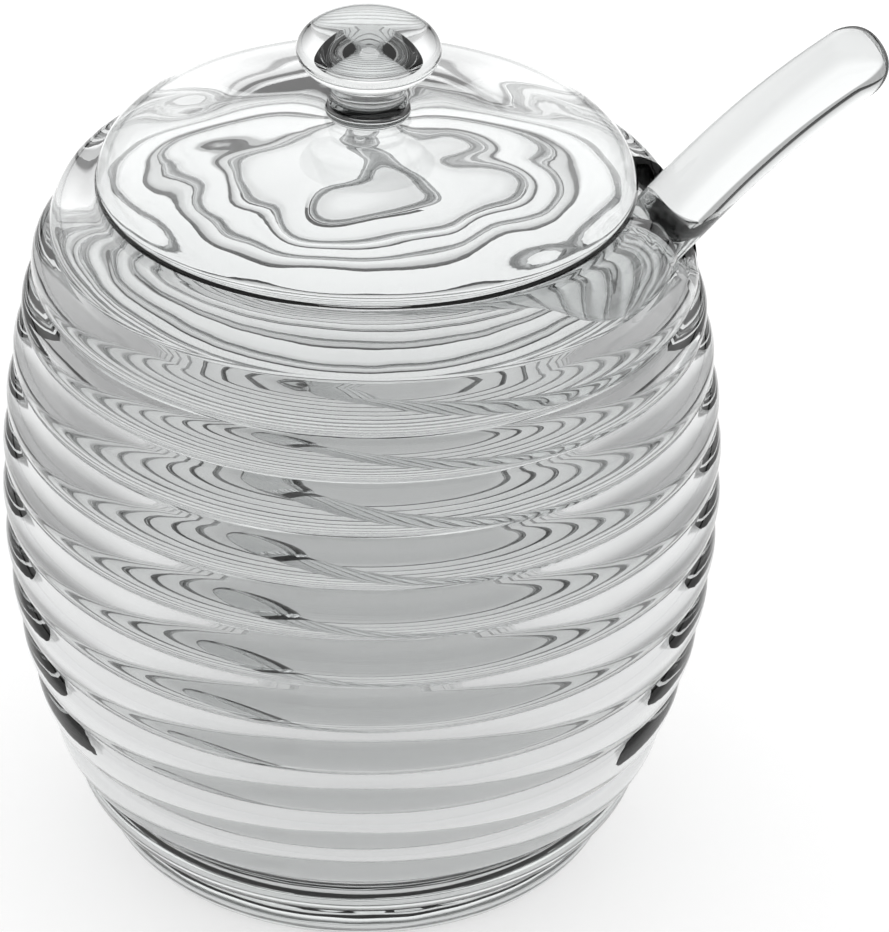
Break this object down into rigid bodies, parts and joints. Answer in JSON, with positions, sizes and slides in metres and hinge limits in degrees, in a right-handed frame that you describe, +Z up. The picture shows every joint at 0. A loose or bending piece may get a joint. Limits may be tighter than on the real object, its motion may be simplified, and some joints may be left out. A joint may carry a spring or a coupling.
{
  "type": "glass sugar bowl",
  "caption": "Barrel-shaped glass sugar bowl with coil-like ribs, a domed lid with a round knob, and a glass spoon that leaves through a notch in the lip.",
  "frame": {"origin": "centre of the flat base that the pot stands on, on the pot's axis", "axes": "+Z up along the pot's axis, +X towards the spoon's handle and the notch in the lip"},
  "size_m": [0.1183, 0.0996, 0.1248],
  "materials": {
    "pot_glass": "clear pressed glass, fire-polished",
    "lid_glass": "clear pressed glass, fire-polished",
    "spoon_glass": "clear drawn glass, fire-polished"
  },
  "bodies": {
    "root": {"pot": "pot_glass", "lid": "lid_glass", "spoon": "spoon_glass"}
  },
  "joints": []
}
